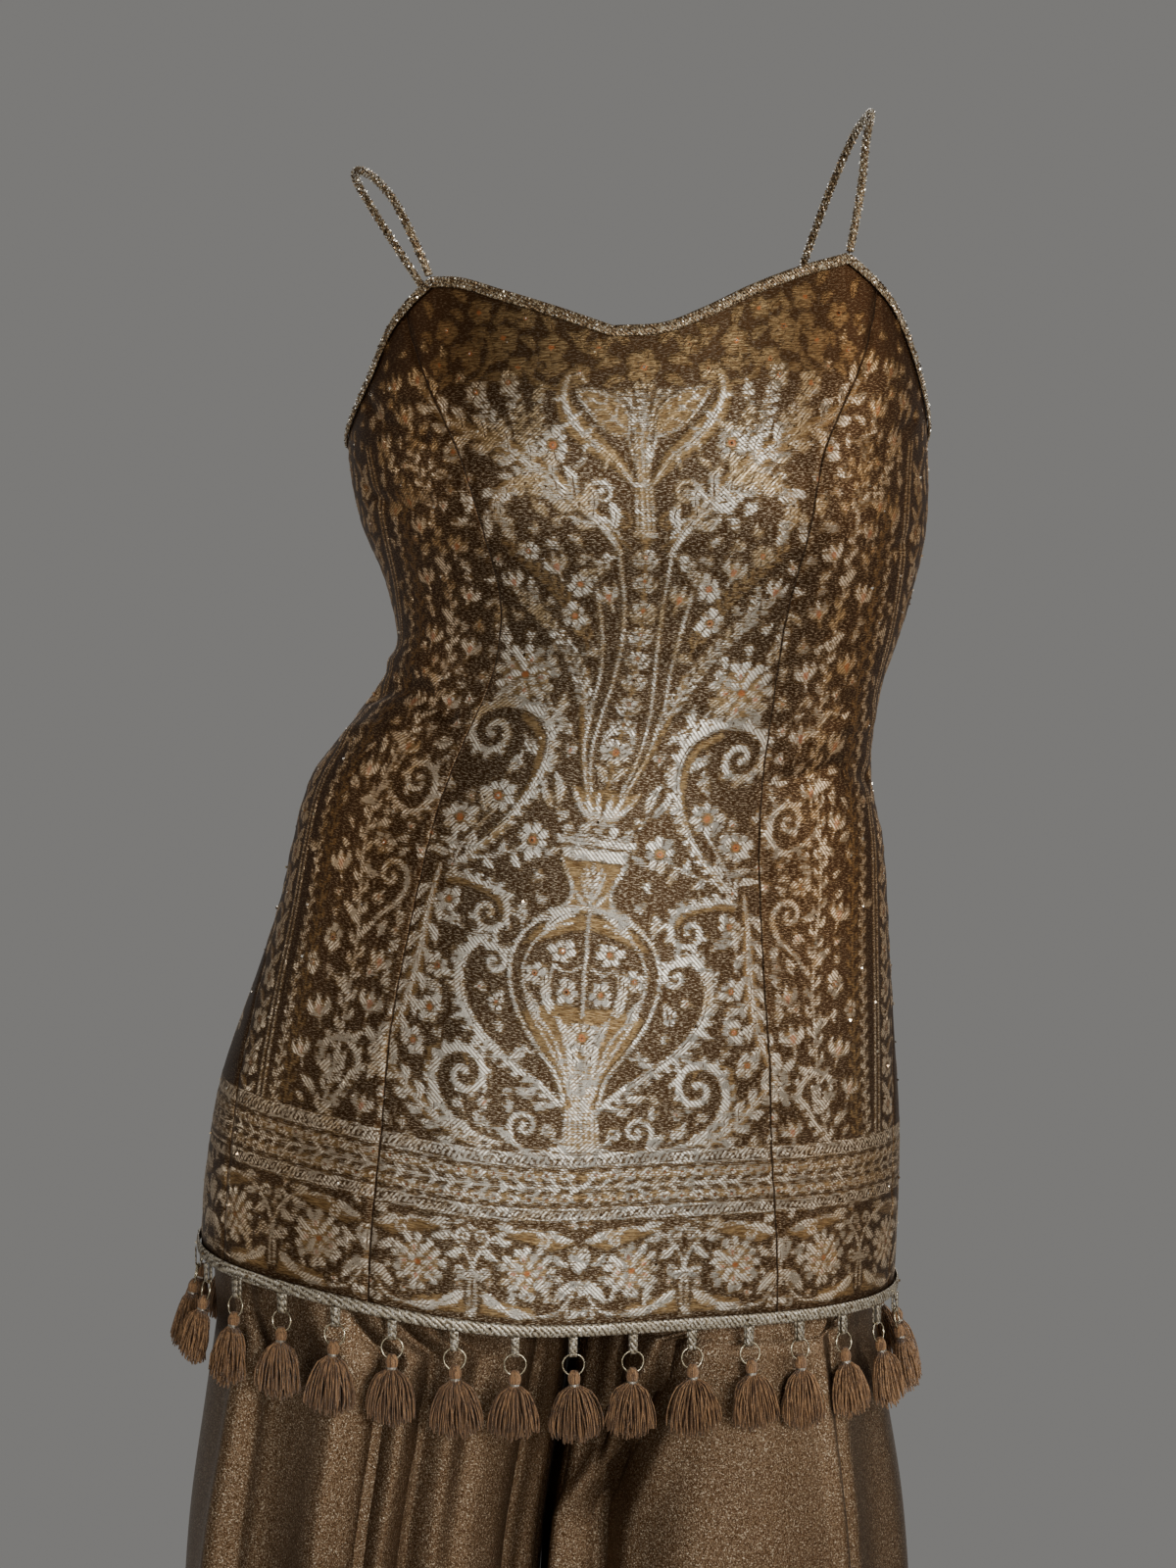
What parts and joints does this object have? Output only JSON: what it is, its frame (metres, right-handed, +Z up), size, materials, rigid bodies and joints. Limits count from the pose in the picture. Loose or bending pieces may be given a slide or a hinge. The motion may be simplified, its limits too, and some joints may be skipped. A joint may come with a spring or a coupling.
{
  "type": "palazzo suit",
  "caption": "Two-piece palazzo suit as worn: a strappy princess-line kurti with a tasselled hem over wide-leg trousers.",
  "frame": {"origin": "midway between the tops of the two shoulder straps, where the wearer's shoulders hold the suit up", "axes": "+Z up, the front faces -Y; left and right in the node names are as seen from the front, so right is +X"},
  "size_m": [0.4745, 0.286, 1.4307],
  "materials": {
    "brocade": "woven brown brocade with silver and gold metallic figuring",
    "bead_trim": "bead-worked braid and cord in silver and gold thread",
    "lame": "soft bronze lame with a fine metallic sparkle",
    "yarn": "matte brown cotton yarn",
    "ring_metal": "thin pale metal wire rings and thread ties"
  },
  "bodies": {
    "root": {"front_centre": "brocade", "front_side_right": "brocade", "front_side_left": "brocade", "back_side_right": "brocade", "back_side_left": "brocade", "back_centre": "brocade", "top_binding": "bead_trim", "strap_left": "bead_trim", "strap_right": "bead_trim", "hem_cord": "bead_trim", "trousers_front_left": "lame", "trousers_front_right": "lame", "trousers_back_left": "lame", "trousers_back_right": "lame", "waistband": "lame", "tassel_01": "yarn", "tassel_02": "yarn", "tassel_03": "yarn", "tassel_04": "yarn", "tassel_05": "yarn", "tassel_06": "yarn", "tassel_07": "yarn", "tassel_08": "yarn", "tassel_09": "yarn", "tassel_10": "yarn", "tassel_11": "yarn", "tassel_12": "yarn", "tassel_13": "yarn", "tassel_14": "yarn", "tassel_15": "yarn", "tassel_16": "yarn", "tassel_17": "yarn", "tassel_18": "yarn", "tassel_19": "yarn", "tassel_20": "yarn", "tassel_21": "yarn", "tassel_22": "yarn", "tassel_23": "yarn", "tassel_24": "yarn", "tassel_25": "yarn", "tassel_26": "yarn", "tassel_27": "yarn", "tassel_28": "yarn", "tassel_29": "yarn", "tassel_30": "yarn", "tassel_31": "yarn", "tassel_32": "yarn"}
  },
  "joints": []
}
